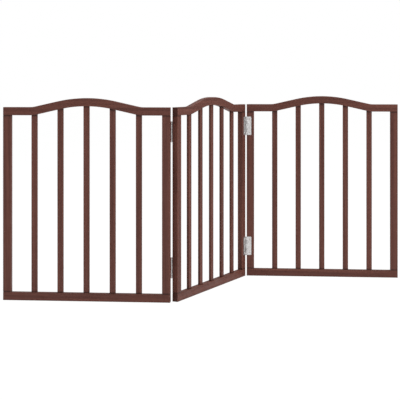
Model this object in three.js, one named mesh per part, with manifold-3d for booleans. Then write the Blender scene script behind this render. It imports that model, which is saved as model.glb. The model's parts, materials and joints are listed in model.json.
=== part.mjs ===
/**
 * Folding pet gate: three arched wooden panels joined in a Z by surface-mounted butt hinges.
 *
 * Each panel is an arched top rail, a straight bottom rail, two stiles and five thin slats, all
 * separate boards housed in one another. The left pair of hinges is on the back faces and the right
 * pair on the front faces, so the gate folds flat like a letter Z.
 *
 * Millimetres, +Z up, front of the gate towards -Y. The origin is on the floor under the centre of
 * the middle panel. The gate stands half folded: the outer panels are parallel to X.
 */
import * as THREE from 'three';
import { mergeVertices } from 'three/addons/utils/BufferGeometryUtils.js';
import Module from 'manifold-3d';

const wasm = await Module();
wasm.setup();

// ---- Panels ----
const PANEL_WIDTH = 508;
const PANEL_THICKNESS = 18;
const SHOULDER_HEIGHT = 583;
const ARCH_RISE = 27.4;
const ARCH_SLOPE = THREE.MathUtils.degToRad(12.8);
const CROWN_RADIUS = 395;
const SHOULDER_RADIUS = 85;
const TOP_RAIL_DEPTH = 24.5;
const BOTTOM_RAIL_HEIGHT = 24;
const STILE_WIDTH = 24.5;
const SLAT_COUNT = 5;
const SLAT_WIDTH = 18;
const SLAT_THICKNESS = 8;
const EASED_EDGE = 0.8;

// ---- Joinery ----
const FIT_GAP = 0.3;
const SLAT_HOUSING = 8;
const TENON_WIDTH = 12.5;
const TENON_THICKNESS = 8;
const TENON_LENGTH = 10;
const OVERRUN = 1;

// ---- Fold ----
const FOLD_ANGLE = THREE.MathUtils.degToRad(69.07);
const END_GAP = 4.26;
const AXIS_OFFSET = 1.5;

// ---- Hinges ----
const HINGE_HEIGHT = 62;
const HINGE_CENTRES = { upper: 509.5, lower: 101.5 };
const LEAF_THICKNESS = 1;
const LEAF_REACH = 17.8;
const LEAF_CORNER_RADIUS = 1.5;
const NOTCH_REACH = 3.6;
const KNUCKLE_COUNT = 5;
const KNUCKLE_GAP = 0.4;
const KNUCKLE_RADIUS = 2.6;
const PIN_RADIUS = 1.55;
const PIN_CLEARANCE = 0.06;
const PIN_END_HEIGHT = 0.5;

// ---- Screws ----
const SCREW_REACH = 11.3;
const SCREW_SPACING = 44;
const SCREW_LENGTH = 14;
const SCREW_HEAD_RADIUS = 3;
const SCREW_SHANK_RADIUS = 1.7;
const SCREW_POINT_LENGTH = 3;

// ---- Fineness of the round surfaces ----
const ARC_SEGMENTS = 5;
const ROUND_SEGMENTS = 16;
const SCREW_SEGMENTS = 10;

const FRONT = -1;
const BACK = 1;
const LEFT = -1;
const RIGHT = 1;

const stainedWood = new THREE.MeshStandardMaterial({ color: 0x613f39, roughness: 0.45, metalness: 0 });
const hingeSteel = new THREE.MeshStandardMaterial({ color: 0xc3c2c4, roughness: 0.35, metalness: 1 });
const screwSteel = new THREE.MeshStandardMaterial({ color: 0xd0d0d2, roughness: 0.3, metalness: 1 });

// ---- Solids ----

function solidFrom(geometry) {
  const bare = geometry.clone();
  bare.deleteAttribute('normal');
  bare.deleteAttribute('uv');
  const merged = mergeVertices(bare);
  const vertProperties = new Float32Array(merged.attributes.position.array);
  const triVerts = new Uint32Array(merged.index.array);
  return new wasm.Manifold(new wasm.Mesh({ numProp: 3, vertProperties, triVerts }));
}

function geometryFrom(solid) {
  const mesh = solid.getMesh();
  const geometry = new THREE.BufferGeometry();
  geometry.setAttribute('position', new THREE.BufferAttribute(mesh.vertProperties, 3));
  geometry.setIndex(new THREE.BufferAttribute(mesh.triVerts, 1));
  return geometry;
}

/** Joins the first geometry with the added ones, then cuts the removed ones out of it. */
function shaped(base, added, removed) {
  let solid = solidFrom(base);
  for (const geometry of added) solid = solid.add(solidFrom(geometry));
  for (const geometry of removed) solid = solid.subtract(solidFrom(geometry));
  return geometryFrom(solid);
}

function boxBetween(low, high) {
  const size = high.map((value, axis) => value - low[axis]);
  const centre = high.map((value, axis) => (value + low[axis]) / 2);
  return new THREE.BoxGeometry(...size).translate(...centre);
}

/** A board drawn as an outline in X and Z and centred in its thickness along Y, its edges eased. */
function board(outline, thickness) {
  const geometry = new THREE.ExtrudeGeometry(outline, {
    depth: thickness - 2 * EASED_EDGE,
    bevelThickness: EASED_EDGE,
    bevelSize: EASED_EDGE,
    bevelOffset: -EASED_EDGE,
    bevelSegments: 1,
    curveSegments: ARC_SEGMENTS,
  });
  return geometry.translate(0, 0, EASED_EDGE - thickness / 2).rotateX(Math.PI / 2);
}

function rectangle(left, right, bottom, top) {
  return new THREE.Shape([
    new THREE.Vector2(left, bottom),
    new THREE.Vector2(right, bottom),
    new THREE.Vector2(right, top),
    new THREE.Vector2(left, top),
  ]);
}

// ---- The arch: a crown arc and two shoulder arcs joined by straight tangents ----

const crownCentre = SHOULDER_HEIGHT + ARCH_RISE - CROWN_RADIUS;
const shoulderCentre = SHOULDER_HEIGHT + SHOULDER_RADIUS;
const crownEnd = {
  x: CROWN_RADIUS * Math.sin(ARCH_SLOPE),
  z: crownCentre + CROWN_RADIUS * Math.cos(ARCH_SLOPE),
};
const tangentBottom = shoulderCentre - SHOULDER_RADIUS * Math.cos(ARCH_SLOPE);
const tangentRun = (crownEnd.z - tangentBottom) / Math.tan(ARCH_SLOPE);
const archHalfSpan = crownEnd.x + tangentRun + SHOULDER_RADIUS * Math.sin(ARCH_SLOPE);

function topRailOutline() {
  const half = PANEL_WIDTH / 2;
  const upright = Math.PI / 2;
  const innerCrown = CROWN_RADIUS - TOP_RAIL_DEPTH;
  const outerShoulder = SHOULDER_RADIUS + TOP_RAIL_DEPTH;
  const outline = new THREE.Shape();
  outline.moveTo(-half, SHOULDER_HEIGHT);
  outline.lineTo(-archHalfSpan, SHOULDER_HEIGHT);
  outline.absarc(-archHalfSpan, shoulderCentre, SHOULDER_RADIUS, -upright, -upright + ARCH_SLOPE, false);
  outline.absarc(0, crownCentre, CROWN_RADIUS, upright + ARCH_SLOPE, upright - ARCH_SLOPE, true);
  outline.absarc(archHalfSpan, shoulderCentre, SHOULDER_RADIUS, -upright - ARCH_SLOPE, -upright, false);
  outline.lineTo(half, SHOULDER_HEIGHT);
  outline.lineTo(half, SHOULDER_HEIGHT - TOP_RAIL_DEPTH);
  outline.absarc(archHalfSpan, shoulderCentre, outerShoulder, -upright, -upright - ARCH_SLOPE, true);
  outline.absarc(0, crownCentre, innerCrown, upright - ARCH_SLOPE, upright + ARCH_SLOPE, false);
  outline.absarc(-archHalfSpan, shoulderCentre, outerShoulder, -upright + ARCH_SLOPE, -upright, true);
  outline.lineTo(-half, SHOULDER_HEIGHT - TOP_RAIL_DEPTH);
  outline.closePath();
  return outline;
}

/** Height of the top rail's underside at a distance x from the panel's centre line. */
function undersideHeight(x) {
  const distance = Math.abs(x);
  const innerCrown = CROWN_RADIUS - TOP_RAIL_DEPTH;
  const outerShoulder = SHOULDER_RADIUS + TOP_RAIL_DEPTH;
  const crownReach = innerCrown * Math.sin(ARCH_SLOPE);
  const shoulderReach = archHalfSpan - outerShoulder * Math.sin(ARCH_SLOPE);
  if (distance <= crownReach) {
    return crownCentre + Math.sqrt(innerCrown ** 2 - distance ** 2);
  }
  if (distance <= shoulderReach) {
    const start = crownCentre + innerCrown * Math.cos(ARCH_SLOPE);
    return start - (distance - crownReach) * Math.tan(ARCH_SLOPE);
  }
  if (distance <= archHalfSpan) {
    return shoulderCentre - Math.sqrt(outerShoulder ** 2 - (archHalfSpan - distance) ** 2);
  }
  return SHOULDER_HEIGHT - TOP_RAIL_DEPTH;
}

// ---- Wooden pieces, each in its panel's frame: X across from the centre line, Z up from the floor ----

const stileCentre = (PANEL_WIDTH - STILE_WIDTH) / 2;
const stileBottom = BOTTOM_RAIL_HEIGHT + FIT_GAP;
const stileTop = SHOULDER_HEIGHT - TOP_RAIL_DEPTH - FIT_GAP;
const slatBottom = BOTTOM_RAIL_HEIGHT - SLAT_HOUSING;
const slatClearGap = (PANEL_WIDTH - 2 * STILE_WIDTH - SLAT_COUNT * SLAT_WIDTH) / (SLAT_COUNT + 1);

const slatCentres = Array.from({ length: SLAT_COUNT }, (_, index) => {
  const stepFromMiddle = index - (SLAT_COUNT - 1) / 2;
  return stepFromMiddle * (SLAT_WIDTH + slatClearGap);
});

function slatTop(centre) {
  return undersideHeight(centre) + SLAT_HOUSING;
}

function mortise(centre, width, thickness, bottom, top) {
  const halfWidth = width / 2 + FIT_GAP;
  const halfThickness = thickness / 2 + FIT_GAP;
  return boxBetween([centre - halfWidth, -halfThickness, bottom], [centre + halfWidth, halfThickness, top]);
}

function topRail() {
  const deepest = SHOULDER_HEIGHT - TOP_RAIL_DEPTH - OVERRUN;
  const slatMortises = slatCentres.map((centre) => (
    mortise(centre, SLAT_WIDTH, SLAT_THICKNESS, deepest, slatTop(centre) + FIT_GAP)
  ));
  const stileMortises = [LEFT, RIGHT].map((side) => (
    mortise(side * stileCentre, TENON_WIDTH, TENON_THICKNESS, deepest, stileTop + TENON_LENGTH + FIT_GAP)
  ));
  return shaped(board(topRailOutline(), PANEL_THICKNESS), [], [...slatMortises, ...stileMortises]);
}

function bottomRail() {
  const half = PANEL_WIDTH / 2;
  const highest = BOTTOM_RAIL_HEIGHT + OVERRUN;
  const slatMortises = slatCentres.map((centre) => (
    mortise(centre, SLAT_WIDTH, SLAT_THICKNESS, slatBottom - FIT_GAP, highest)
  ));
  const stileMortises = [LEFT, RIGHT].map((side) => (
    mortise(side * stileCentre, TENON_WIDTH, TENON_THICKNESS, stileBottom - TENON_LENGTH - FIT_GAP, highest)
  ));
  const blank = board(rectangle(-half, half, 0, BOTTOM_RAIL_HEIGHT), PANEL_THICKNESS);
  return shaped(blank, [], [...slatMortises, ...stileMortises]);
}

function slat(centre) {
  const halfWidth = SLAT_WIDTH / 2;
  return board(rectangle(-halfWidth, halfWidth, slatBottom, slatTop(centre)), SLAT_THICKNESS);
}

function stileTenons() {
  const halfWidth = TENON_WIDTH / 2;
  const halfThickness = TENON_THICKNESS / 2;
  return [
    [stileBottom - TENON_LENGTH, stileBottom + OVERRUN],
    [stileTop - OVERRUN, stileTop + TENON_LENGTH],
  ].map(([bottom, top]) => (
    boxBetween([-halfWidth, -halfThickness, bottom], [halfWidth, halfThickness, top])
  ));
}

/** Screw holes in a stile that carries hinges at one side of its panel, on its front or back face. */
function stileScrewHoles(side, face) {
  const across = side * (STILE_WIDTH / 2 - (SCREW_REACH - END_GAP / 2));
  const depth = SCREW_LENGTH;
  const radius = SCREW_SHANK_RADIUS + 2 * FIT_GAP;
  const holes = [];
  for (const height of Object.values(HINGE_CENTRES)) {
    for (const end of [-1, 1]) {
      const hole = new THREE.CylinderGeometry(radius, radius, 2 * depth, SCREW_SEGMENTS);
      holes.push(hole.translate(across, face * PANEL_THICKNESS / 2, height + end * SCREW_SPACING / 2));
    }
  }
  return holes;
}

function stile(side, hingeFace) {
  const halfWidth = STILE_WIDTH / 2;
  const blank = board(rectangle(-halfWidth, halfWidth, stileBottom, stileTop), PANEL_THICKNESS);
  const holes = hingeFace ? stileScrewHoles(side, hingeFace) : [];
  return shaped(blank, stileTenons(), holes);
}

// ---- Hinges, in a frame with the pin along Z, the leaf towards +X and the wood on the +Y side ----

const knucklePitch = (HINGE_HEIGHT + KNUCKLE_GAP) / KNUCKLE_COUNT;
const knuckleLength = knucklePitch - KNUCKLE_GAP;
const leafInside = AXIS_OFFSET - FIT_GAP;
const leafOutside = leafInside - LEAF_THICKNESS;
const boreRadius = (PIN_RADIUS + PIN_CLEARANCE) / Math.cos(Math.PI / ROUND_SEGMENTS);

function uprightCylinder(radius, bottom, top) {
  const geometry = new THREE.CylinderGeometry(radius, radius, top - bottom, ROUND_SEGMENTS);
  return geometry.rotateX(Math.PI / 2).translate(0, 0, (bottom + top) / 2);
}

function leafPlate() {
  const half = HINGE_HEIGHT / 2;
  const corner = LEAF_CORNER_RADIUS;
  const outline = new THREE.Shape();
  outline.moveTo(NOTCH_REACH, -half);
  outline.lineTo(LEAF_REACH - corner, -half);
  outline.absarc(LEAF_REACH - corner, corner - half, corner, -Math.PI / 2, 0, false);
  outline.absarc(LEAF_REACH - corner, half - corner, corner, 0, Math.PI / 2, false);
  outline.lineTo(NOTCH_REACH, half);
  outline.closePath();
  const plate = new THREE.ExtrudeGeometry(outline, {
    depth: LEAF_THICKNESS,
    bevelEnabled: false,
    curveSegments: 2,
  });
  return plate.rotateX(Math.PI / 2).translate(0, leafInside, 0);
}

/** The conical hole for a countersunk head, wide at the leaf's outer face. */
function countersink(height) {
  const wide = SCREW_HEAD_RADIUS + FIT_GAP + OVERRUN;
  const narrow = wide - LEAF_THICKNESS - 2 * OVERRUN;
  const depth = LEAF_THICKNESS + 2 * OVERRUN;
  const hole = new THREE.CylinderGeometry(narrow, wide, depth, ROUND_SEGMENTS);
  return hole.translate(SCREW_REACH, (leafInside + leafOutside) / 2, height);
}

function leaf(knuckles) {
  const half = HINGE_HEIGHT / 2;
  const pieces = [];
  for (const index of knuckles) {
    const bottom = index * knucklePitch - half;
    const top = bottom + knuckleLength;
    pieces.push(uprightCylinder(KNUCKLE_RADIUS, bottom, top));
    pieces.push(boxBetween([PIN_RADIUS, leafOutside, bottom], [NOTCH_REACH + OVERRUN, leafInside, top]));
  }
  const bore = uprightCylinder(boreRadius, -half - OVERRUN, half + OVERRUN);
  const screwHoles = [-1, 1].map((end) => countersink(end * SCREW_SPACING / 2));
  return shaped(leafPlate(), pieces, [bore, ...screwHoles]);
}

function pin() {
  const half = HINGE_HEIGHT / 2;
  const end = half + PIN_END_HEIGHT;
  const neck = PIN_RADIUS - PIN_END_HEIGHT;
  const profile = [[0, -end], [neck, -end], [PIN_RADIUS, -half], [PIN_RADIUS, half], [neck, end], [0, end]];
  const points = profile.map(([radius, height]) => new THREE.Vector2(radius, height));
  return new THREE.LatheGeometry(points, ROUND_SEGMENTS).rotateX(Math.PI / 2);
}

/** A countersunk wood screw along Y, its head flush with the leaf's outer face. */
function screw() {
  const coneDepth = SCREW_HEAD_RADIUS - SCREW_SHANK_RADIUS;
  const profile = [
    [0, SCREW_LENGTH],
    [SCREW_SHANK_RADIUS, SCREW_LENGTH - SCREW_POINT_LENGTH],
    [SCREW_SHANK_RADIUS, coneDepth],
    [SCREW_HEAD_RADIUS, 0],
    [0, 0],
  ];
  const points = profile.map(([radius, depth]) => new THREE.Vector2(radius, depth)).reverse();
  return new THREE.LatheGeometry(points, SCREW_SEGMENTS).translate(0, leafOutside, 0);
}

// ---- Assembly ----

function named(name, geometry, material) {
  const mesh = new THREE.Mesh(geometry, material);
  mesh.name = name;
  return mesh;
}

/** Turns a leaf from its own frame to the given side and face of a panel. */
function leafRotation(side, face) {
  if (side === RIGHT && face === BACK) return [0, 0, Math.PI];
  if (side === RIGHT) return [0, Math.PI, 0];
  if (face === BACK) return [Math.PI, 0, 0];
  return [0, 0, 0];
}

/** One leaf with its two screws, and the pin if the leaf is the one that holds it. */
function mountedLeaf(hingeName, holdsPin, side, face, height) {
  const group = new THREE.Group();
  const axisX = side * (PANEL_WIDTH + END_GAP) / 2;
  const axisY = face * (PANEL_THICKNESS / 2 + AXIS_OFFSET);
  group.position.set(axisX, axisY, height);
  group.rotation.set(...leafRotation(side, face));
  const knuckles = holdsPin ? [0, 2, 4] : [1, 3];
  const leafName = holdsPin ? 'three_knuckle_leaf' : 'two_knuckle_leaf';
  group.add(named(`${hingeName}_${leafName}`, leaf(knuckles), hingeSteel));
  if (holdsPin) group.add(named(`${hingeName}_pin`, pin(), hingeSteel));
  for (const end of [-1, 1]) {
    const level = end < 0 ? 'first' : 'second';
    const owner = holdsPin ? 'outer' : 'inner';
    const piece = named(`${hingeName}_${owner}_screw_${level}`, screw(), screwSteel);
    piece.position.set(SCREW_REACH, 0, end * SCREW_SPACING / 2);
    group.add(piece);
  }
  return group;
}

/** A panel standing on the floor, with the hinge leaves that are screwed to it. */
function panel(name, hinges) {
  const group = new THREE.Group();
  group.add(named(`${name}_top_rail`, topRail(), stainedWood));
  group.add(named(`${name}_bottom_rail`, bottomRail(), stainedWood));
  for (const side of [LEFT, RIGHT]) {
    const hinge = hinges.find((entry) => entry.side === side);
    const sideName = side === LEFT ? 'left' : 'right';
    const piece = named(`${name}_${sideName}_stile`, stile(side, hinge?.face), stainedWood);
    piece.position.x = side * stileCentre;
    group.add(piece);
  }
  slatCentres.forEach((centre, index) => {
    const piece = named(`${name}_slat_${index + 1}`, slat(centre), stainedWood);
    piece.position.x = centre;
    group.add(piece);
  });
  for (const { joint, side, face, holdsPin } of hinges) {
    for (const [level, height] of Object.entries(HINGE_CENTRES)) {
      group.add(mountedLeaf(`${joint}_${level}_hinge`, holdsPin, side, face, height));
    }
  }
  return group;
}

const leftPanel = panel('left_panel', [
  { joint: 'left', side: RIGHT, face: BACK, holdsPin: true },
]);
const middlePanel = panel('middle_panel', [
  { joint: 'left', side: LEFT, face: BACK, holdsPin: false },
  { joint: 'right', side: RIGHT, face: FRONT, holdsPin: false },
]);
const rightPanel = panel('right_panel', [
  { joint: 'right', side: LEFT, face: FRONT, holdsPin: true },
]);

// The fold line of the right joint, seen from the middle panel's centre and from the right panel's.
const endToAxis = (PANEL_WIDTH + END_GAP) / 2;
const faceToAxis = PANEL_THICKNESS / 2 + AXIS_OFFSET;
const alongMiddle = new THREE.Vector2(Math.cos(FOLD_ANGLE), Math.sin(FOLD_ANGLE));
const middleFront = new THREE.Vector2(Math.sin(FOLD_ANGLE), -Math.cos(FOLD_ANGLE));
const rightFold = new THREE.Vector2();
rightFold.addScaledVector(alongMiddle, endToAxis).addScaledVector(middleFront, faceToAxis);
const rightCentre = rightFold.clone().add(new THREE.Vector2(endToAxis, faceToAxis));

middlePanel.rotation.z = FOLD_ANGLE;
rightPanel.position.set(rightCentre.x, rightCentre.y, 0);
leftPanel.position.set(-rightCentre.x, -rightCentre.y, 0);

const gate = new THREE.Group();
gate.add(leftPanel, middlePanel, rightPanel);

export default gate;
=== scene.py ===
"""Looks for the folding pet gate: eased and stained boards, rolled butt hinges and cross-head screws.

Every size is in metres in the row frame: +Z up, front towards -Y, origin on the floor under the middle
panel. The places of all pieces, and the boards' lengths and widths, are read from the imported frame. The
arch, the hinges and the screws are drawn from the sizes below. The three panels are alike, so one panel is
described in its own frame (X across, Y towards its back, Z up) and then set in place three times.
"""

import json
import math
import random

import bmesh
import bpy
from mathutils import Matrix, Vector
from mathutils.geometry import delaunay_2d_cdt


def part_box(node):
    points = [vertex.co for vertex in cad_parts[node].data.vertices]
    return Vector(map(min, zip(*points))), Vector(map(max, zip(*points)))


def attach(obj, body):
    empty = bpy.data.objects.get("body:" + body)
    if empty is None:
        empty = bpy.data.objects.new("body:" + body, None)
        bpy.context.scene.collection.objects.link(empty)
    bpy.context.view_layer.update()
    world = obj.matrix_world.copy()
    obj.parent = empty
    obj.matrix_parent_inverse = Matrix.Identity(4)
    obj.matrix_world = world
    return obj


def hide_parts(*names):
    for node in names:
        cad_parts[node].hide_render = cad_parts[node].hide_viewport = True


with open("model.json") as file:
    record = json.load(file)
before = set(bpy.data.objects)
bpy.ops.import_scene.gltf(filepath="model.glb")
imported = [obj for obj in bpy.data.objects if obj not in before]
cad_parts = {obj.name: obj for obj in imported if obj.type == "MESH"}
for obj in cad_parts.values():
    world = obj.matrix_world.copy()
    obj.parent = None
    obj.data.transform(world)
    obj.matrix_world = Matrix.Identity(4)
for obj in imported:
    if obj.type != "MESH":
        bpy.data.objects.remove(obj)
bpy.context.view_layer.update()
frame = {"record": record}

MM = 0.001
TINY = 0.0001 * MM
MERGE_DISTANCE = TINY / 100

# ---- The arch of the top rail ----
TOP_RAIL_DEPTH = 24.5 * MM
ARCH_SLOPE = math.radians(12.8)
CROWN_RADIUS = 395 * MM
SHOULDER_RADIUS = 85 * MM
ARC_STEPS = 12

# ---- Boards ----
SLAT_COUNT = 5
EASED_EDGE = 1.0 * MM
EDGE_STEPS = 4
SLAT_EASED_EDGE = 0.8 * MM
HOUSED_DEPTH = 4 * MM
# Painted shade where an upright board comes out of a joint: how far along the board it reaches, and how
# dark it is at the joint.
JOINT_SHADE_REACH = 7 * MM
JOINT_SHADE_DEPTH = 0.75
# Past this share of its rounding, a shown end is end grain and no longer part of the board's long edges.
END_FROM = 0.5

# ---- Where in a log a board is sawn, which gives it its grain, in metres ----
LOG_RUN = 40.0
PITH_ACROSS = (0.02, 0.07)
PITH_THROUGH = (-0.03, 0.03)
LEAST_LEAN, LEAN_SPREAD = 0.006, 0.01

# ---- Hinges ----
LEAF_THICKNESS = 1.0 * MM
LEAF_REACH = 17.8 * MM
LEAF_HEIGHT = 62 * MM
LEAF_CORNER_RADIUS = 1.5 * MM
CORNER_STEPS = 9
NOTCH_REACH = 3.6 * MM
LEAF_SEAT_GAP = 0.02 * MM
KNUCKLE_COUNT = 5
KNUCKLE_GAP = 0.4 * MM
KNUCKLE_RADIUS = 2.6 * MM
SWAGE_RADIUS = 0.6 * MM
ROLL_END = math.radians(350)
ROLL_STEPS = 30
SWAGE_STEPS = 5
SHEET_EDGE = 0.12 * MM
SCREW_EDGE = 0.05 * MM
FLAT_ANGLE = math.radians(0.5)
CORNER_ANGLE = math.radians(42)
SMOOTH_ANGLE = math.radians(14)
PIN_RADIUS = 1.55 * MM
PIN_DOME = 0.5 * MM
DOME_STEPS = 8

# ---- Screws ----
SCREW_REACH = 11.3 * MM
SCREW_SPACING = 44 * MM
SCREW_HEAD_RADIUS = 3.0 * MM
SCREW_SHANK_RADIUS = 1.7 * MM
SCREW_LENGTH = 14 * MM
SCREW_POINT_LENGTH = 3 * MM
SCREW_RIM = 0.15 * MM
SCREW_SEAT_GAP = 0.25 * MM
RECESS_SPAN = 1.9 * MM
RECESS_ARM = 0.52 * MM
RECESS_DEPTH = 1.2 * MM
RECESS_TAPER = 0.45
RECESS_CORNER_NEAR, RECESS_CORNER_FAR = 1.1, 1.5
ROUND_STEPS = 40

# ---- Camera and stage ----
CAMERA_PLACE = (0.2721, -3.6064, 0.6629)
CAMERA_TURN = math.radians(4.88)
CAMERA_LENS = 101.703
CAMERA_SHIFT = -0.2983
SENSOR_WIDTH = 36
FLOOR_HALF = 30.0
FLOOR_GLOW = 0.93
FLOOR_PAINT, FLOOR_MOTTLE = 0.09, 0.02
MOTTLE_SCALE = 3.0
FLOOR_BOUNCE = (0.95, 0.95, 0.95, 1)
BACKDROP_GLOW = 1.0
ROOM_GLOW = 0.64
HORIZON_GLOW = 0.26
HORIZON_SINE, CEILING_SINE = 0.0, 0.6
LEFT_SHADE, RIGHT_SHADE = 0.45, 1.25
LIGHT_AIM = (0, 0, 0.3)
# Each softbox: its name, azimuth from the front towards the right, elevation, distance, size, power and
# whether it is a flagged light, kept out of the reflections, or a reflector, seen only in them.
SOFTBOXES = (
    ("key", 54, 30, 10.0, 4.8, 570, "flagged"),
    ("top", 0, 90, 2.0, 2.0, 28, "plain"),
    ("front", -3, 6, 4.2, 1.5, 8.5, "reflector"),
)

LEFT, RIGHT = -1, 1
FRONT, BACK = -1, 1

record = frame["record"]
joints = {joint["name"]: joint for joint in record["behaviour"]["joints"]}
node_body = {
    node: body
    for body, nodes in record["behaviour"]["bodies"].items()
    for node in nodes
}


# ---------------------------------------------------------------- materials

def new_material(name):
    """A material whose surface is one principled shader, and that shader."""
    material = bpy.data.materials.new(name)
    material.use_nodes = True
    nodes = material.node_tree.nodes
    nodes.clear()
    shader = nodes.new("ShaderNodeBsdfPrincipled")
    output = nodes.new("ShaderNodeOutputMaterial")
    material.node_tree.links.new(shader.outputs["BSDF"], output.inputs["Surface"])
    return material, shader


# A Mix node has sockets for each kind of value. These are its factor, A and B, and its result, for colours.
MIX_COLOUR_SOCKETS = (0, 6, 7)
MIX_COLOUR_OUTPUT = 2


class NodeMaker:
    """Short ways to add the few kinds of node that the materials and the backdrop use."""

    def __init__(self, owner):
        self.tree = owner.node_tree

    def add(self, kind, **settings):
        node = self.tree.nodes.new(kind)
        for key, value in settings.items():
            setattr(node, key, value)
        return node

    def link(self, source, target):
        self.tree.links.new(source, target)

    def feed(self, socket, value):
        """Links another node's socket to this one, or gives it a plain value."""
        if isinstance(value, bpy.types.NodeSocket):
            self.link(value, socket)
        else:
            socket.default_value = value

    def attribute(self, name, output):
        return self.add("ShaderNodeAttribute", attribute_name=name).outputs[output]

    def stretched(self, vector, scale):
        node = self.add("ShaderNodeMapping", vector_type="POINT")
        node.inputs["Scale"].default_value = scale
        self.link(vector, node.inputs["Vector"])
        return node.outputs["Vector"]

    def noise(self, vector, scale, detail=3.0, roughness=0.5):
        node = self.add("ShaderNodeTexNoise")
        node.inputs["Scale"].default_value = scale
        node.inputs["Detail"].default_value = detail
        node.inputs["Roughness"].default_value = roughness
        self.link(vector, node.inputs["Vector"])
        return node.outputs["Fac"]

    def remap(self, value, low, high, to_low=0.0, to_high=1.0, easing="SMOOTHSTEP"):
        node = self.add("ShaderNodeMapRange", interpolation_type=easing)
        names = ("Value", "From Min", "From Max", "To Min", "To Max")
        for name, setting in zip(names, (value, low, high, to_low, to_high)):
            self.feed(node.inputs[name], setting)
        return node.outputs["Result"]

    def math(self, operation, first, second):
        node = self.add("ShaderNodeMath", operation=operation)
        for socket, value in zip(node.inputs, (first, second)):
            self.feed(socket, value)
        return node.outputs["Value"]

    def mix(self, factor, first, second):
        node = self.add("ShaderNodeMix", data_type="RGBA", blend_type="MIX")
        for index, value in zip(MIX_COLOUR_SOCKETS, (factor, first, second)):
            self.feed(node.inputs[index], value)
        return node.outputs[MIX_COLOUR_OUTPUT]

    def bump(self, height, strength, distance, normal=None):
        node = self.add("ShaderNodeBump")
        node.inputs["Strength"].default_value = strength
        node.inputs["Distance"].default_value = distance
        self.link(height, node.inputs["Height"])
        if normal is not None:
            self.link(normal, node.inputs["Normal"])
        return node.outputs["Normal"]


STAIN_DARK = (0.0575, 0.0175, 0.0124, 1)
STAIN_MID = (0.102, 0.0335, 0.0245, 1)
STAIN_LIGHT = (0.151, 0.0525, 0.0365, 1)
# The tone of end grain, which is also the painted shade where upright boards meet the rails.
END_GRAIN_AND_SHADE_TONE = (0.022, 0.0070, 0.0052, 1)
STAIN_WORN = (0.205, 0.0820, 0.0500, 1)

# How many times a metre each feature varies: along, across and through a board, or the same all ways.
# A stretch is only the ratio between the three.
RING_STRETCH = (0.06, 1, 1)
RING_SCALE = 95
FIBRE_SCALE = (7, 520, 520)
STREAK_SCALE = (1.6, 95, 95)
PORE_SCALE = (28, 1500, 1500)
SWELL_STRETCH = (0.5, 3, 3)
SWELL_SCALE = 14.0
BLOTCH_SCALE = 9.0
RUBBING_SCALE = 55.0
SATIN_SCALE = 38.0
GRAIN_RELIEF = 0.12 * MM
SWELL_RELIEF = 1.2 * MM

ROLLING_LINE_SCALE = (60, 2600, 2600)
PLATING_CLOUD_SCALE = 140.0
PLATING_SPECK_SCALE = 1900.0
PLATING_RELIEF = 0.02 * MM
RUBBED_BRIGHTNESS = 1.12


def stained_wood():
    """Mahogany stain under a satin lacquer.

    The grain attribute holds metres along, across and through a board.
    """
    material, shader = new_material("stained_wood")
    make = NodeMaker(material)
    grain = make.attribute("grain", "Vector")
    wear = make.attribute("wear", "Fac")
    # This attribute holds end grain, and painted shade by the joints.
    end_grain_and_shade = make.attribute("end_grain_and_shade", "Fac")

    rings = make.add("ShaderNodeTexWave", wave_type="RINGS", rings_direction="X", wave_profile="SAW")
    make.link(make.stretched(grain, RING_STRETCH), rings.inputs["Vector"])
    rings.inputs["Scale"].default_value = RING_SCALE
    rings.inputs["Distortion"].default_value = 5.0
    rings.inputs["Detail"].default_value = 2.0
    rings.inputs["Detail Scale"].default_value = 0.35
    late_wood = make.remap(rings.outputs["Fac"], 0.45, 1.0)

    fibres = make.noise(make.stretched(grain, FIBRE_SCALE), 1.0, detail=4.0, roughness=0.6)
    streaks = make.noise(make.stretched(grain, STREAK_SCALE), 1.0, roughness=0.55)
    pores = make.noise(make.stretched(grain, PORE_SCALE), 1.0, detail=1.0)
    blotches = make.noise(grain, BLOTCH_SCALE, detail=2.0)

    open_pores = make.remap(pores, 0.62, 0.72)
    tone = make.mix(make.remap(streaks, 0.32, 0.68), STAIN_DARK, STAIN_LIGHT)
    tone = make.mix(make.remap(blotches, 0.3, 0.7, to_low=0.25, to_high=0.6), tone, STAIN_MID)
    tone = make.mix(make.math("MULTIPLY", late_wood, 0.45), tone, STAIN_DARK)
    tone = make.mix(make.remap(fibres, 0.40, 0.68, to_high=0.35), tone, STAIN_LIGHT)
    tone = make.mix(make.math("MULTIPLY", open_pores, 0.55), tone, STAIN_DARK)
    # End grain, and the painted shade by the joints, darken the stain.
    tone = make.mix(make.remap(end_grain_and_shade, 0.0, 1.0), tone, END_GRAIN_AND_SHADE_TONE)
    patches = make.noise(grain, RUBBING_SCALE, detail=4.0)
    rubbing = make.remap(patches, 0.42, 0.62, to_low=0.12, to_high=0.55)
    tone = make.mix(make.math("MULTIPLY", wear, rubbing), tone, STAIN_WORN)
    make.link(tone, shader.inputs["Base Color"])

    satin = make.remap(make.noise(grain, SATIN_SCALE), 0.3, 0.7, to_low=0.46, to_high=0.57)
    rough = make.math("ADD", satin, make.math("MULTIPLY", open_pores, 0.16))
    make.link(rough, shader.inputs["Roughness"])

    pore_depth = make.math("MULTIPLY", open_pores, 0.8)
    relief = make.math("SUBTRACT", make.math("MULTIPLY", fibres, 0.5), pore_depth)
    relief = make.math("SUBTRACT", relief, make.math("MULTIPLY", late_wood, 0.35))
    fine = make.bump(relief, 0.45, GRAIN_RELIEF)
    swell = make.noise(make.stretched(grain, SWELL_STRETCH), SWELL_SCALE, detail=1.0)
    make.link(make.bump(swell, 0.35, SWELL_RELIEF, fine), shader.inputs["Normal"])
    shader.inputs["Specular IOR Level"].default_value = 0.26
    return material


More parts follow.
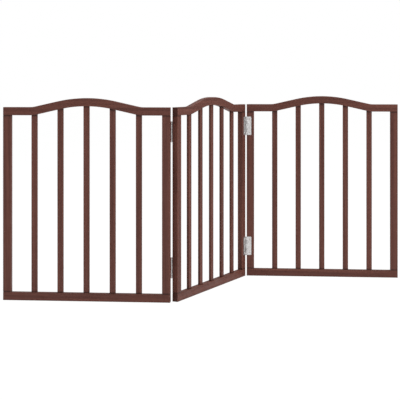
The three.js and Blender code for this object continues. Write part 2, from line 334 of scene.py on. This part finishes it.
def plated_steel(name, colour, dull, roughness):
    """Zinc-plated steel: faint rolling lines, cloudy plating and brighter rubbed edges."""
    material, shader = new_material(name)
    make = NodeMaker(material)
    grain = make.attribute("grain", "Vector")
    wear = make.attribute("wear", "Fac")
    lines = make.noise(make.stretched(grain, ROLLING_LINE_SCALE), 1.0, roughness=0.6)
    clouds = make.noise(grain, PLATING_CLOUD_SCALE, detail=5.0, roughness=0.65)
    specks = make.noise(grain, PLATING_SPECK_SCALE, detail=2.0)
    tone = make.mix(make.remap(clouds, 0.30, 0.75), colour, dull)
    tone = make.mix(make.remap(lines, 0.45, 0.72, to_high=0.30), tone, dull)
    bright = tuple(min(1.0, channel * RUBBED_BRIGHTNESS) for channel in colour[:3]) + (1,)
    tone = make.mix(make.math("MULTIPLY", wear, 0.6), tone, bright)
    make.link(tone, shader.inputs["Base Color"])
    rough = make.remap(clouds, 0.3, 0.7, to_low=roughness - 0.03, to_high=roughness + 0.04)
    rough = make.math("ADD", rough, make.remap(lines, 0.4, 0.7, to_high=0.04))
    make.link(rough, shader.inputs["Roughness"])
    relief = make.math("ADD", make.math("MULTIPLY", lines, 0.6), make.math("MULTIPLY", specks, 0.4))
    make.link(make.bump(relief, 0.2, PLATING_RELIEF), shader.inputs["Normal"])
    shader.inputs["Metallic"].default_value = 1.0
    return material


def floor_material():
    """A white studio floor: to the camera mostly its own glow, and to other light plain white paint."""
    material, shader = new_material("pale_floor")
    make = NodeMaker(material)
    place = make.add("ShaderNodeTexCoord").outputs["Object"]
    mottle = make.noise(place, MOTTLE_SCALE)
    darker, paler = [(paint, paint, paint, 1) for paint in (FLOOR_PAINT, FLOOR_PAINT + FLOOR_MOTTLE)]
    tone = make.mix(make.remap(mottle, 0.3, 0.7), darker, paler)
    make.link(tone, shader.inputs["Base Color"])
    shader.inputs["Roughness"].default_value = 0.9
    shader.inputs["Specular IOR Level"].default_value = 0.1
    shader.inputs["Emission Color"].default_value = (1, 1, 1, 1)
    shader.inputs["Emission Strength"].default_value = FLOOR_GLOW
    bounce = make.add("ShaderNodeBsdfDiffuse")
    bounce.inputs["Color"].default_value = FLOOR_BOUNCE
    seen = make.add("ShaderNodeMixShader")
    make.link(make.add("ShaderNodeLightPath").outputs["Is Camera Ray"], seen.inputs[0])
    make.link(bounce.outputs["BSDF"], seen.inputs[1])
    make.link(shader.outputs["BSDF"], seen.inputs[2])
    output = next(node for node in material.node_tree.nodes if node.type == "OUTPUT_MATERIAL")
    make.link(seen.outputs["Shader"], output.inputs["Surface"])
    return material


WOOD = stained_wood()
HINGE_STEEL = plated_steel(
    "hinge_steel", colour=(0.70, 0.69, 0.69, 1), dull=(0.62, 0.61, 0.605, 1), roughness=0.36,
)
SCREW_STEEL = plated_steel(
    "screw_steel", colour=(0.76, 0.75, 0.745, 1), dull=(0.66, 0.645, 0.62, 1), roughness=0.30,
)


# ---------------------------------------------------------------- meshes

def make_object(name, vertices, faces, normals, attributes, material):
    """A mesh object with named attributes, one value to a vertex, and vertex normals if they are given."""
    mesh = bpy.data.meshes.new(name)
    mesh.from_pydata([tuple(vertex) for vertex in vertices], [], faces)
    mesh.polygons.foreach_set("use_smooth", [True] * len(mesh.polygons))
    for key, values in attributes.items():
        if key == "grain":
            layer = mesh.attributes.new(key, "FLOAT_VECTOR", "POINT")
            layer.data.foreach_set("vector", [number for value in values for number in value])
        else:
            layer = mesh.attributes.new(key, "FLOAT", "POINT")
            layer.data.foreach_set("value", values)
    mesh.materials.append(material)
    mesh.validate()
    if normals is not None:
        mesh.normals_split_custom_set_from_vertices([tuple(normal) for normal in normals])
    piece = bpy.data.objects.new(name, mesh)
    bpy.context.scene.collection.objects.link(piece)
    return piece


def without_repeats(loop):
    """The loop with only one of each run of the same vertex."""
    return [index for step, index in enumerate(loop) if index != loop[step - 1]]


def walls(before, after):
    """The faces between two rings of as many vertices each, which are triangles where a ring is a point."""
    faces = []
    for index in range(len(before)):
        nearby = (index + 1) % len(before)
        loop = without_repeats([before[index], before[nearby], after[nearby], after[index]])
        if len(loop) > 2:
            faces.append(loop)
    return faces


def stand_for(piece, node, matrix):
    """Sets the piece in place of a CAD node, riding on that node's body."""
    piece.matrix_world = matrix
    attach(piece, node_body[node])
    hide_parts(node)
    return piece


# ---------------------------------------------------------------- boards

def edge_ring(half_width, half_thickness, radius, shrink):
    """Points round a board's section, with their normals and how far each is round an edge (0 to 1).

    shrink runs from 1, full size, to 0, where the rounded corners have closed to points.
    """
    points = []
    for corner, (side, face) in enumerate(((1, -1), (1, 1), (-1, 1), (-1, -1))):
        centre = Vector((side * (half_width - radius), face * (half_thickness - radius)))
        start = math.radians(-90 + 90 * corner)
        for step in range(EDGE_STEPS + 1):
            part = step / EDGE_STEPS
            angle = start + part * math.pi / 2
            normal = Vector((math.cos(angle), math.sin(angle)))
            points.append((centre + normal * radius * shrink, normal, 1 - abs(2 * part - 1)))
    return points


def weathering(edge, shrink, end_turn, joint_shade, ends_show):
    """How rubbed a point of a board is, and how dark with end grain or with painted shade by a joint.

    edge is how far the point is round a long edge (0 to 1), and end_turn is how far it is round an end.
    """
    at_end = abs(math.sin(end_turn))
    if ends_show:
        long_edge = edge if shrink > END_FROM else 0.0
        return max(long_edge, math.sin(2 * abs(end_turn))), max(0.0, at_end - END_FROM)
    return 0.0 if at_end > 0 else edge, max(at_end, joint_shade)


def sweep_board(name, stations, width, thickness, radius, grain_at, ends_show):
    """A board swept through stations, with rounded ends.

    Each station is a place and a direction in the X-Z plane, and how dark the painted shade of a nearby
    joint is there.
    Ends that show are rubbed at their edges. Ends that stand in a joint are painted dark, as shade in the
    joint.
    """
    vertices, normals, wear, end_grain_and_shade, rings = [], [], [], [], []

    def add_ring(place, along, joint_shade, push, shrink, end_turn):
        across = Vector((along.z, 0, -along.x))
        through = Vector((0, 1, 0))
        ring = []
        closed = shrink * radius < TINY
        section = edge_ring(width / 2, thickness / 2, radius, shrink)
        for number, (offset, normal, edge) in enumerate(section):
            if closed and number % (EDGE_STEPS + 1):
                ring.append(ring[-1])
                continue
            point = place + along * push + across * offset.x + through * offset.y
            outward = across * normal.x + through * normal.y
            vertices.append(point)
            normals.append(outward * math.cos(end_turn) + along * math.sin(end_turn))
            # The darkening is end grain at shown ends, and painted shade by the joints.
            rubbed, darkened = weathering(edge, shrink, end_turn, joint_shade, ends_show)
            wear.append(rubbed)
            end_grain_and_shade.append(darkened)
            ring.append(len(vertices) - 1)
        rings.append(ring)

    for step in range(EDGE_STEPS + 1):
        turn = math.pi / 2 * (step / EDGE_STEPS - 1)
        add_ring(*stations[0], radius * (1 + math.sin(turn)), math.cos(turn), turn)
    for station in stations[1:-1]:
        add_ring(*station, 0.0, 1.0, 0.0)
    for step in range(EDGE_STEPS + 1):
        turn = math.pi / 2 * step / EDGE_STEPS
        add_ring(*stations[-1], radius * (math.sin(turn) - 1), math.cos(turn), turn)

    faces = []
    for before, after in zip(rings, rings[1:]):
        faces += walls(before, after)
    faces.append(without_repeats(rings[0])[::-1])
    faces.append(without_repeats(rings[-1]))
    attributes = {
        "grain": [grain_at(vertex) for vertex in vertices],
        "wear": wear,
        "end_grain_and_shade": end_grain_and_shade,
    }
    return make_object(name, vertices, faces, normals, attributes, WOOD)


def board_shift(node):
    """Where in the log a board was sawn: each board gets its own figure, the same in every run."""
    pick = random.Random(node)
    return Vector((pick.uniform(0, LOG_RUN), pick.uniform(*PITH_ACROSS), pick.uniform(*PITH_THROUGH)))


def grain_along(axis, shift):
    """The grain runs along X or Z. The pith is a little to one side of the board and not quite parallel."""
    lean = LEAST_LEAN + LEAN_SPREAD * (shift.x % 1)

    def grain_at(point):
        run, across = (point.x, point.z) if axis == "X" else (point.z, point.x)
        return (run + shift.x, across + shift.y + lean * run, point.y + shift.z)

    return grain_at


def straight_board(node, low, high, axis, radius, matrix, housed=0.0):
    """A board between two corners of its panel's frame, its length along X or Z.

    housed is how much of each end stands in a joint. Shade is painted where an upright board comes out.
    """
    middle = (low + high) / 2
    along = Vector((1, 0, 0)) if axis == "X" else Vector((0, 0, 1))
    half = (high - low).dot(along) / 2
    width = high.z - low.z if axis == "X" else high.x - low.x
    if axis == "X":
        marks = [(-half, 0.0), (half, 0.0)]
    else:
        # Painted shade, fading out along the board from where it leaves its joint.
        upper_half = [(half - housed - JOINT_SHADE_REACH, 0.0), (half - housed, JOINT_SHADE_DEPTH)]
        if housed:
            upper_half.append((half, JOINT_SHADE_DEPTH))
        marks = [(-distance, joint_shade) for distance, joint_shade in reversed(upper_half)] + upper_half
    stations = [(middle + along * distance, along, joint_shade) for distance, joint_shade in marks]
    name = f"{node}_board"
    grain_at = grain_along(axis, board_shift(node))
    piece = sweep_board(name, stations, width, high.y - low.y, radius, grain_at, axis == "X")
    return stand_for(piece, node, matrix)


def arch_stations(half_width, shoulder, crown):
    """The middle line of the top rail, from end to end.

    Flat shoulders rise through a concave arc and a straight run to the crown's arc.
    """
    half_depth = TOP_RAIL_DEPTH / 2
    crown_centre = crown - CROWN_RADIUS
    shoulder_centre = shoulder + SHOULDER_RADIUS
    crown_end_x = CROWN_RADIUS * math.sin(ARCH_SLOPE)
    crown_end_z = crown_centre + CROWN_RADIUS * math.cos(ARCH_SLOPE)
    tangent_z = shoulder_centre - SHOULDER_RADIUS * math.cos(ARCH_SLOPE)
    run = (crown_end_z - tangent_z) / math.tan(ARCH_SLOPE)
    half_span = crown_end_x + run + SHOULDER_RADIUS * math.sin(ARCH_SLOPE)

    def station(x, z, turn):
        return Vector((x, 0, z)), Vector((math.cos(turn), 0, -math.sin(turn))), 0.0

    right_half = []
    radius = CROWN_RADIUS - half_depth
    for step in range(ARC_STEPS + 1):
        turn = ARCH_SLOPE * step / ARC_STEPS
        x, z = radius * math.sin(turn), crown_centre + radius * math.cos(turn)
        right_half.append(station(x, z, turn))
    radius = SHOULDER_RADIUS + half_depth
    for step in range(ARC_STEPS + 1):
        turn = ARCH_SLOPE * (1 - step / ARC_STEPS)
        x, z = half_span - radius * math.sin(turn), shoulder_centre - radius * math.cos(turn)
        right_half.append(station(x, z, turn))
    right_half.append(station(half_width, shoulder - half_depth, 0.0))
    mirrored = [
        (Vector((-place.x, 0, place.z)), Vector((along.x, 0, -along.z)), joint_shade)
        for place, along, joint_shade in right_half[:0:-1]
    ]
    return mirrored + right_half


def panel_matrices():
    """Each panel's own frame in the row frame.

    The outer panels stand square to the row frame. The joints' upper limit is the turn that brings the
    panels in line, so it is also how far the middle panel is turned.
    """
    matrices = {}
    for panel in ("left_panel", "right_panel"):
        low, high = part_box(f"{panel}_bottom_rail")
        matrices[panel] = Matrix.Translation(Vector(((low.x + high.x) / 2, (low.y + high.y) / 2, 0)))
    turn = math.radians(joints["left_fold"]["range_deg"][1])
    low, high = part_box("middle_panel_bottom_rail")
    centre = Matrix.Translation(Vector(((low.x + high.x) / 2, (low.y + high.y) / 2, 0)))
    matrices["middle_panel"] = centre @ Matrix.Rotation(turn, 4, "Z")
    return matrices


PANELS = panel_matrices()


def local_box(node_end):
    """A piece's box in its panel's own frame, read from the left panel. The panels are alike."""
    low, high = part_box(f"left_panel_{node_end}")
    back = PANELS["left_panel"].inverted()
    return back @ low, back @ high


def build_panel(panel, matrix):
    """One panel's nine boards. What stands deeper than HOUSED_DEPTH in a slat's housings is left out."""
    rail_low, rail_high = local_box("bottom_rail")
    top_low, top_high = local_box("top_rail")
    shoulder = top_low.z + TOP_RAIL_DEPTH
    thickness = rail_high.y - rail_low.y
    straight_board(f"{panel}_bottom_rail", rail_low, rail_high, "X", EASED_EDGE, matrix)

    node = f"{panel}_top_rail"
    stations = arch_stations(top_high.x, shoulder, top_high.z)
    grain_at = grain_along("X", board_shift(node))
    rail = sweep_board(f"{node}_board", stations, TOP_RAIL_DEPTH, thickness, EASED_EDGE, grain_at, True)
    stand_for(rail, node, matrix)

    for side in ("left", "right"):
        low, high = local_box(f"{side}_stile")
        low.z, high.z = rail_high.z, top_low.z
        straight_board(f"{panel}_{side}_stile", low, high, "Z", EASED_EDGE, matrix)
    for number in range(1, SLAT_COUNT + 1):
        low, high = local_box(f"slat_{number}")
        hidden = rail_high.z - low.z - HOUSED_DEPTH
        low.z += hidden
        high.z -= hidden
        straight_board(f"{panel}_slat_{number}", low, high, "Z", SLAT_EASED_EDGE, matrix, HOUSED_DEPTH)


# ---------------------------------------------------------------- hinges

def leaf_matrix(panel, side, face, height):
    """The hinge's own frame: the pin along Z, the leaf towards +X and the wood on the +Y side."""
    on_left_fold = (panel, side) in (("left_panel", RIGHT), ("middle_panel", LEFT))
    axis = Vector(joints["left_fold" if on_left_fold else "right_fold"]["pos_m"])
    axis.z = height
    panel_turn = PANELS[panel].to_3x3().to_4x4()
    if side == RIGHT and face == BACK:
        turn = Matrix.Rotation(math.pi, 4, "Z")
    elif side == RIGHT:
        turn = Matrix.Rotation(math.pi, 4, "Y")
    elif face == BACK:
        turn = Matrix.Rotation(math.pi, 4, "X")
    else:
        turn = Matrix.Identity(4)
    return Matrix.Translation(axis) @ panel_turn @ turn


def axis_to_face():
    """How far the pin line stands off the faces of the panels that it joins."""
    axis = PANELS["left_panel"].inverted() @ Vector(joints["left_fold"]["pos_m"])
    _, high = local_box("bottom_rail")
    return axis.y - high.y


LEAF_INNER = axis_to_face() - LEAF_SEAT_GAP
LEAF_OUTER = LEAF_INNER - LEAF_THICKNESS
KNUCKLE_PITCH = (LEAF_HEIGHT + KNUCKLE_GAP) / KNUCKLE_COUNT


def knuckle_span(index):
    """Where a knuckle starts and ends along the pin. Knuckles are counted from the bottom."""
    bottom = index * KNUCKLE_PITCH - LEAF_HEIGHT / 2
    return bottom, bottom + KNUCKLE_PITCH - KNUCKLE_GAP


def roll_path():
    """The middle line of a knuckle's sheet, from the leaf, through the swage and round the pin."""
    middle = (LEAF_INNER + LEAF_OUTER) / 2
    roll = KNUCKLE_RADIUS - LEAF_THICKNESS / 2
    swage_y = middle + SWAGE_RADIUS
    swage_x = math.sqrt((roll + SWAGE_RADIUS) ** 2 - swage_y ** 2)
    meeting = math.atan2(swage_y, swage_x)
    path = []
    for step in range(SWAGE_STEPS + 1):
        angle = -math.pi / 2 - (math.pi / 2 - meeting) * step / SWAGE_STEPS
        outward = Vector((math.cos(angle), math.sin(angle)))
        path.append((Vector((swage_x, swage_y)) + outward * SWAGE_RADIUS, -outward))
    for step in range(1, ROLL_STEPS + 1):
        angle = meeting + (ROLL_END - meeting) * step / ROLL_STEPS
        outward = Vector((math.cos(angle), math.sin(angle)))
        path.append((outward * roll, outward))
    return path


def circle(centre, radius, steps):
    """Points round a circle, counter-clockwise."""
    return [
        Vector((
            centre[0] + radius * math.cos(2 * math.pi * step / steps),
            centre[1] + radius * math.sin(2 * math.pi * step / steps),
        ))
        for step in range(steps)
    ]


def in_sheet(point, loops):
    """True inside the first loop and outside the others.

    It counts the edges that a ray to the right crosses.
    """
    crossed = 0
    for loop in loops:
        for first, second in zip(loop, loop[1:] + loop[:1]):
            if (first.y > point.y) != (second.y > point.y):
                along = (point.y - first.y) / (second.y - first.y)
                crossed += first.x + along * (second.x - first.x) > point.x
    return crossed % 2 == 1


def filled(loops):
    """Triangles that fill the first loop and leave the others open, as indices into the joined loops."""
    points = [point for loop in loops for point in loop]
    edges = []
    start = 0
    for loop in loops:
        edges += [(start + step, start + (step + 1) % len(loop)) for step in range(len(loop))]
        start += len(loop)
    made, _, triangles, origins, _, _ = delaunay_2d_cdt(points, edges, [], 1, MERGE_DISTANCE)
    kept = [
        triangle for triangle in triangles
        if in_sheet(sum((made[index] for index in triangle), Vector((0, 0))) / 3, loops)
    ]
    return [[origins[index][0] for index in triangle] for triangle in kept]


def leaf_outline(spans):
    """The flat part of a leaf, counter-clockwise in X and Z, with a corner point at each knuckle's edge."""
    half = LEAF_HEIGHT / 2
    corner = LEAF_CORNER_RADIUS
    outline = [Vector((NOTCH_REACH, -half))]
    for centre_z, start in ((corner - half, -90), (half - corner, 0)):
        for step in range(CORNER_STEPS + 1):
            angle = math.radians(start + 90 * step / CORNER_STEPS)
            outline.append(Vector((
                LEAF_REACH - corner + corner * math.cos(angle),
                centre_z + corner * math.sin(angle),
            )))
    outline.append(Vector((NOTCH_REACH, half)))
    for span in reversed(spans):
        for height in reversed(span):
            if abs(abs(height) - half) > TINY:
                outline.append(Vector((NOTCH_REACH, height)))
    return outline


def leaf_loops(outline, hole_radius):
    """The outline of a leaf's flat part, and its two screw holes."""
    holes = [(SCREW_REACH, end * SCREW_SPACING / 2) for end in (-1, 1)]
    return [outline] + [circle(hole, hole_radius, ROUND_STEPS) for hole in holes]


def is_knuckle_root(first, second, spans):
    """True of an edge of the flat part that a knuckle grows out of."""
    if max(first.x, second.x) > NOTCH_REACH + TINY:
        return False
    bottom, top = sorted((first.z, second.z))
    return any(max(abs(bottom - low), abs(top - high)) < TINY for low, high in spans)


def leaf_plate(spans):
    """The flat part of a leaf with its countersunk holes, open at the root of each knuckle."""
    outline = leaf_outline(spans)
    wide = SCREW_HEAD_RADIUS + SCREW_SEAT_GAP
    outer_loops = leaf_loops(outline, wide)
    inner_loops = leaf_loops(outline, wide - LEAF_THICKNESS)
    count = sum(len(loop) for loop in outer_loops)
    vertices = [Vector((p.x, LEAF_OUTER, p.y)) for loop in outer_loops for p in loop]
    vertices += [Vector((p.x, LEAF_INNER, p.y)) for loop in inner_loops for p in loop]
    faces = filled(outer_loops)
    faces += [[index + count for index in triangle[::-1]] for triangle in filled(inner_loops)]
    start = 0
    for loop in outer_loops:
        for step in range(len(loop)):
            first, second = start + step, start + (step + 1) % len(loop)
            if not is_knuckle_root(vertices[first], vertices[second], spans):
                faces.append([first, first + count, second + count, second])
        start += len(loop)
    return vertices, faces


def roll_knuckle(vertices, faces, low, high):
    """Adds one knuckle to a leaf's vertices and faces, from its root in the flat part to its rolled end."""
    ring = []
    for side_y, height in ((LEAF_OUTER, low), (LEAF_INNER, low), (LEAF_INNER, high), (LEAF_OUTER, high)):
        corner = Vector((NOTCH_REACH, side_y, height))
        ring.append(next(i for i, v in enumerate(vertices) if (v - corner).length < TINY))
    half_sheet = LEAF_THICKNESS / 2
    for place, outward in roll_path():
        start = len(vertices)
        for side, height in ((-1, low), (1, low), (1, high), (-1, high)):
            point = place + outward * half_sheet * side
            vertices.append(Vector((point.x, point.y, height)))
        fresh = list(range(start, len(vertices)))
        faces += walls(ring, fresh)
        ring = fresh
    faces.append(ring)


def build_leaf(node, knuckles, matrix):
    """A leaf pressed from sheet, with deep notches between the knuckles that are rolled round the pin."""
    spans = [knuckle_span(index) for index in knuckles]
    vertices, faces = leaf_plate(spans)
    for low, high in spans:
        roll_knuckle(vertices, faces, low, high)
    shift = board_shift(node)
    attributes = {
        "grain": [(vertex.z + shift.x, vertex.x + shift.y, vertex.y) for vertex in vertices],
        "wear": [0.0] * len(vertices),
    }
    piece = make_object(f"{node}_rolled", vertices, faces, None, attributes, HINGE_STEEL)
    finish_metal(piece, SHEET_EDGE)
    return stand_for(piece, node, matrix)


def finish_metal(piece, edge):
    """Breaks the sharp edges of a metal piece with small flats, and keeps its flat parts flat."""
    mesh = piece.data
    work = bmesh.new()
    work.from_mesh(mesh)
    bmesh.ops.recalc_face_normals(work, faces=work.faces)
    flat = edges_between(work, 0, FLAT_ANGLE)
    bmesh.ops.dissolve_edges(work, edges=flat, use_verts=False, use_face_split=False)
    corners = edges_between(work, CORNER_ANGLE, math.pi)
    bmesh.ops.bevel(
        work, geom=corners, offset=edge, segments=1, profile=0.5, affect="EDGES", clamp_overlap=True,
    )
    work.to_mesh(mesh)
    work.free()
    mesh.set_sharp_from_angle(angle=SMOOTH_ANGLE)


def edges_between(work, low, high):
    """The edges whose two faces meet at an angle between two limits."""
    return [
        edge for edge in work.edges
        if len(edge.link_faces) == 2 and low <= edge.calc_face_angle() <= high
    ]


def flat_ring(vertices, points, depth):
    """Adds a ring of vertices at one depth and returns their indices."""
    start = len(vertices)
    vertices += [Vector((point.x, point.y, depth)) for point in points]
    return list(range(start, len(vertices)))


def turned(name, profile, steps, material, shift):
    """A solid of revolution round Z from (radius, height) points that start and end on the axis."""
    vertices, faces, rings = [], [], []
    for radius, height in profile:
        if radius < TINY:
            vertices.append(Vector((0, 0, height)))
            rings.append([len(vertices) - 1] * steps)
        else:
            rings.append(flat_ring(vertices, circle((0, 0), radius, steps), height))
    for before, after in zip(rings, rings[1:]):
        faces += walls(before, after)
    attributes = {
        "grain": [(vertex.z + shift.x, vertex.x, vertex.y) for vertex in vertices],
        "wear": [0.0] * len(vertices),
    }
    return make_object(name, vertices, faces, None, attributes, material)


def build_pin(node, matrix):
    """A plain pin, a little domed at both ends."""
    half = LEAF_HEIGHT / 2
    dome = [
        (PIN_RADIUS * math.cos(turn), half + PIN_DOME * math.sin(turn))
        for turn in (math.pi / 2 * step / DOME_STEPS for step in range(DOME_STEPS + 1))
    ]
    profile = [(radius, -height) for radius, height in reversed(dome)] + dome
    piece = turned(f"{node}_domed", profile, ROUND_STEPS, HINGE_STEEL, board_shift(node))
    finish_metal(piece, SHEET_EDGE)
    return stand_for(piece, node, matrix)


def cross_outline(span, arm):
    """A cross with four arms, counter-clockwise, its inner corners cut slantwise."""
    near, far = arm * RECESS_CORNER_NEAR, arm * RECESS_CORNER_FAR
    quarter = [(span, -arm), (span, arm), (far, near), (near, far)]
    points = []
    for turn in range(4):
        angle = math.pi / 2 * turn
        for x, y in quarter:
            points.append(Vector((
                x * math.cos(angle) - y * math.sin(angle),
                x * math.sin(angle) + y * math.cos(angle),
            )))
    return points


def build_screw(node, matrix, turn):
    """A countersunk screw with a tapering cross recess, its head flush in the leaf.

    Its own frame has the head's face at the origin and +Z into the wood.
    """
    rim_points = circle((0, 0), SCREW_HEAD_RADIUS, ROUND_STEPS)
    mouth_points = cross_outline(RECESS_SPAN, RECESS_ARM)
    vertices = []
    rim = flat_ring(vertices, rim_points, 0)
    mouth = flat_ring(vertices, mouth_points, 0)
    foot = flat_ring(vertices, [point * RECESS_TAPER for point in mouth_points], RECESS_DEPTH)
    faces = filled([rim_points, mouth_points]) + walls(mouth, foot) + [foot]

    cone_end = SCREW_HEAD_RADIUS - SCREW_SHANK_RADIUS
    shank_end = SCREW_LENGTH - SCREW_POINT_LENGTH
    below_rim = (
        (SCREW_HEAD_RADIUS, SCREW_RIM),
        (SCREW_SHANK_RADIUS, cone_end),
        (SCREW_SHANK_RADIUS, shank_end),
    )
    ring = rim
    for radius, depth in below_rim:
        fresh = flat_ring(vertices, circle((0, 0), radius, ROUND_STEPS), depth)
        faces += walls(ring, fresh)
        ring = fresh
    vertices.append(Vector((0, 0, SCREW_LENGTH)))
    faces += walls(ring, [len(vertices) - 1] * ROUND_STEPS)

    shift = board_shift(node)
    attributes = {
        "grain": [(vertex.x + shift.x, vertex.y + shift.y, vertex.z) for vertex in vertices],
        "wear": [float(index in foot) for index in range(len(vertices))],
    }
    piece = make_object(f"{node}_cross_head", vertices, faces, None, attributes, SCREW_STEEL)
    finish_metal(piece, SCREW_EDGE)
    seat = Matrix.Translation(Vector((SCREW_REACH, LEAF_OUTER, 0)))
    into_wood = Matrix.Rotation(-math.pi / 2, 4, "X")
    place = matrix @ seat @ into_wood @ Matrix.Rotation(turn, 4, "Z")
    return stand_for(piece, node, place)


def build_leaf_set(hinge, panel, side, face, holds_pin):
    """One leaf of a hinge and its two screws. The three-knuckle leaf brings the pin with it."""
    low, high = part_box(f"{hinge}_hinge_pin")
    height = (low.z + high.z) / 2
    matrix = leaf_matrix(panel, side, face, height)
    if holds_pin:
        build_leaf(f"{hinge}_hinge_three_knuckle_leaf", (0, 2, 4), matrix)
        build_pin(f"{hinge}_hinge_pin", matrix)
    else:
        build_leaf(f"{hinge}_hinge_two_knuckle_leaf", (1, 3), matrix)
    owner = "outer" if holds_pin else "inner"
    for name, end in (("first", -1), ("second", 1)):
        node = f"{hinge}_hinge_{owner}_screw_{name}"
        lift = Matrix.Translation(Vector((0, 0, end * SCREW_SPACING / 2)))
        turn = random.Random(node + "_turn").uniform(0, math.pi)
        build_screw(node, matrix @ lift, turn)


def build_hinges():
    for level in ("upper", "lower"):
        build_leaf_set(f"left_{level}", "left_panel", RIGHT, BACK, True)
        build_leaf_set(f"left_{level}", "middle_panel", LEFT, BACK, False)
        build_leaf_set(f"right_{level}", "middle_panel", RIGHT, FRONT, False)
        build_leaf_set(f"right_{level}", "right_panel", LEFT, FRONT, True)


# ---------------------------------------------------------------- stage

def build_camera():
    data = bpy.data.cameras.new("camera")
    data.sensor_width = SENSOR_WIDTH
    data.lens = CAMERA_LENS
    data.shift_y = CAMERA_SHIFT
    camera = bpy.data.objects.new("camera", data)
    camera.location = CAMERA_PLACE
    camera.rotation_euler = (math.pi / 2, 0, CAMERA_TURN)
    bpy.context.scene.collection.objects.link(camera)
    bpy.context.scene.camera = camera


def build_floor():
    corners = [(x * FLOOR_HALF, y * FLOOR_HALF, 0) for x, y in ((-1, -1), (1, -1), (1, 1), (-1, 1))]
    mesh = bpy.data.meshes.new("floor")
    mesh.from_pydata(corners, [], [(0, 1, 2, 3)])
    mesh.materials.append(floor_material())
    floor = bpy.data.objects.new("floor", mesh)
    bpy.context.scene.collection.objects.link(floor)


def build_backdrop():
    """A white backdrop to the camera. To other light it is a room, brighter above and to the right."""
    world = bpy.data.worlds.new("studio")
    world.use_nodes = True
    make = NodeMaker(world)
    towards = make.add("ShaderNodeSeparateXYZ")
    make.link(make.add("ShaderNodeTexCoord").outputs["Generated"], towards.inputs["Vector"])
    height_glow = make.remap(towards.outputs["Z"], HORIZON_SINE, CEILING_SINE, HORIZON_GLOW, ROOM_GLOW)
    shade = make.remap(towards.outputs["X"], -1.0, 1.0, LEFT_SHADE, RIGHT_SHADE, "LINEAR")
    room_glow = make.math("MULTIPLY", height_glow, shade)
    to_camera = make.add("ShaderNodeLightPath").outputs["Is Camera Ray"]
    glow = make.remap(to_camera, 0.0, 1.0, room_glow, BACKDROP_GLOW, "LINEAR")
    sky = world.node_tree.nodes["Background"]
    make.link(glow, sky.inputs["Strength"])
    sky.inputs["Color"].default_value = (1, 1, 1, 1)
    bpy.context.scene.world = world
    bpy.context.scene.view_settings.view_transform = "Standard"


def build_lights():
    aim = Vector(LIGHT_AIM)
    for name, azimuth, elevation, distance, size, power, kind in SOFTBOXES:
        data = bpy.data.lights.new(name, "AREA")
        data.shape = "SQUARE"
        data.size = size
        data.energy = power
        light = bpy.data.objects.new(name, data)
        turn, lift = math.radians(azimuth), math.radians(elevation)
        away = Vector((math.sin(turn) * math.cos(lift), -math.cos(turn) * math.cos(lift), math.sin(lift)))
        light.location = aim + away * distance
        light.rotation_euler = away.to_track_quat("Z", "Y").to_euler()
        light.visible_camera = False
        light.visible_glossy = kind != "flagged"
        light.visible_diffuse = kind != "reflector"
        bpy.context.scene.collection.objects.link(light)


build_camera()
build_floor()
build_backdrop()
build_lights()
for panel_name, panel_matrix in PANELS.items():
    build_panel(panel_name, panel_matrix)
build_hinges()
